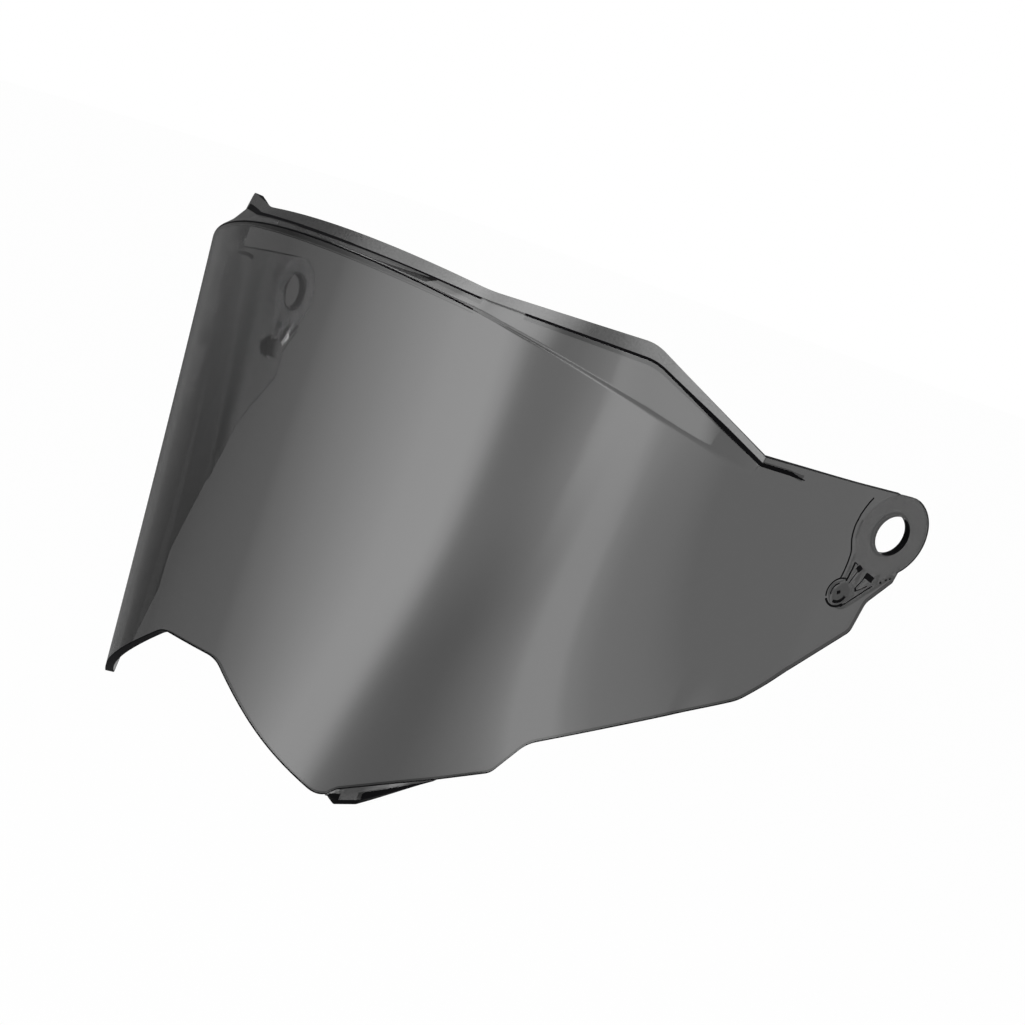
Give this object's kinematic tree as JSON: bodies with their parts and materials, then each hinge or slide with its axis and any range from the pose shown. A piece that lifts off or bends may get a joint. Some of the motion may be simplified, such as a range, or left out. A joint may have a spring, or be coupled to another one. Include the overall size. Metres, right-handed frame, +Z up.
{
  "type": "motorcycle helmet visor",
  "caption": "Smoke-tinted visor of an adventure motorcycle helmet: a curved shield with a brow lip, nose notch, finger tab and pierced side arms with pivot plates and detent pegs.",
  "frame": {"origin": "middle of the pivot axis, halfway between the outer faces of the two arms", "axes": "+X towards the wearer's left along the pivot axis, +Y towards the back of the head, +Z up"},
  "size_m": [0.246, 0.1207, 0.136],
  "materials": {
    "smoke_polycarbonate": "clear dark smoke polycarbonate, hard coated, high gloss",
    "dark_plastic": "near-black moulded plastic, slightly worn gloss"
  },
  "bodies": {
    "root": {"shield": "smoke_polycarbonate", "left_pivot_plate": "smoke_polycarbonate", "right_pivot_plate": "smoke_polycarbonate", "left_detent_peg": "dark_plastic", "right_detent_peg": "dark_plastic"}
  },
  "joints": []
}
